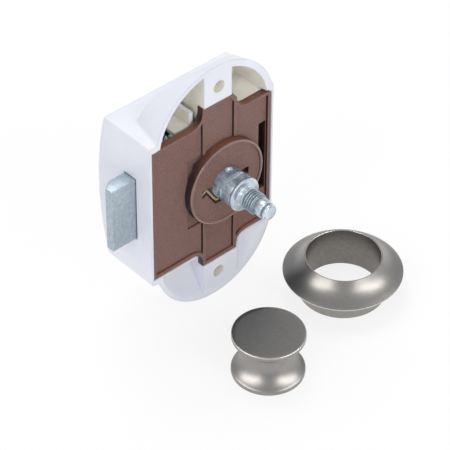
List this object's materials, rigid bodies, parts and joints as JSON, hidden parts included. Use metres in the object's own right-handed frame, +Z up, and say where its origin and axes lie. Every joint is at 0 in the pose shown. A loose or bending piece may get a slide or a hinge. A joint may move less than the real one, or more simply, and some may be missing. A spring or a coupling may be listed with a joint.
{
  "type": "push button cabinet lock",
  "caption": "Rim lock for a cabinet door: a pop-out push button spindle draws a beveled bolt, in a round-ended case, with a loose mushroom knob and a door rosette.",
  "frame": {"origin": "spindle axis where it crosses the mounting face of the case", "axes": "X runs across the case and the bolt points along -X, Y runs into the cabinet and the spindle points along -Y, Z is up"},
  "size_m": [0.0735, 0.0629, 0.077],
  "materials": {
    "case_plastic": "smooth moulded white plastic",
    "brown_plastic": "fine grained brown plastic",
    "ivory_plastic": "plain moulded plastic",
    "zinc": "raw zinc die casting",
    "steel": "bright steel",
    "brass": "spring brass strip",
    "satin_nickel": "satin nickel plating"
  },
  "bodies": {
    "housing": {"housing": "case_plastic", "cover_plate": "brown_plastic", "guide_disc": "brown_plastic", "latch_track": "ivory_plastic", "leaf_spring": "brass", "return_spring": "steel", "spring_seat": "steel", "bolt_spring": "steel", "bolt_spring_rod": "steel", "bolt_spring_cup": "ivory_plastic"},
    "spindle": {"spindle_sleeve": "zinc", "threaded_stud": "zinc", "retaining_clip": "steel", "drive_block": "ivory_plastic", "drive_pins": "steel"},
    "bolt": {"bolt": "zinc"},
    "latch_wire": {"latch_wire": "steel"},
    "rosette": {"rosette": "satin_nickel"},
    "knob": {"knob": "satin_nickel", "knob_insert": "ivory_plastic", "knob_clip": "steel"}
  },
  "joints": [
    {"name": "spindle_slide", "type": "slide", "parent": "housing", "child": "spindle", "axis": [0, -1, 0], "range_m": [0, 0.009], "deforming": ["return_spring"]},
    {"name": "bolt_slide", "type": "slide", "parent": "housing", "child": "bolt", "axis": [1, 0, 0], "range_m": [0, 0.008], "deforming": ["bolt_spring"]},
    {"name": "latch_swing", "type": "hinge", "parent": "spindle", "child": "latch_wire", "pos_m": [0.0062, 0.0134, 0], "axis": [1, 0, 0], "range_deg": [0, 24]},
    {"name": "rosette_lift", "type": "slide", "parent": "housing", "child": "rosette", "axis": [0, 0, 1], "range_m": [0, 0.03]},
    {"name": "knob_lift", "type": "slide", "parent": "housing", "child": "knob", "axis": [0, 0, 1], "range_m": [0, 0.03]}
  ],
  "couplings": [
    {"joint": "bolt_slide", "follows": "spindle_slide", "ratio": 0.8888},
    {"joint": "latch_swing", "follows": "spindle_slide", "rad_per_m": 46.54}
  ]
}
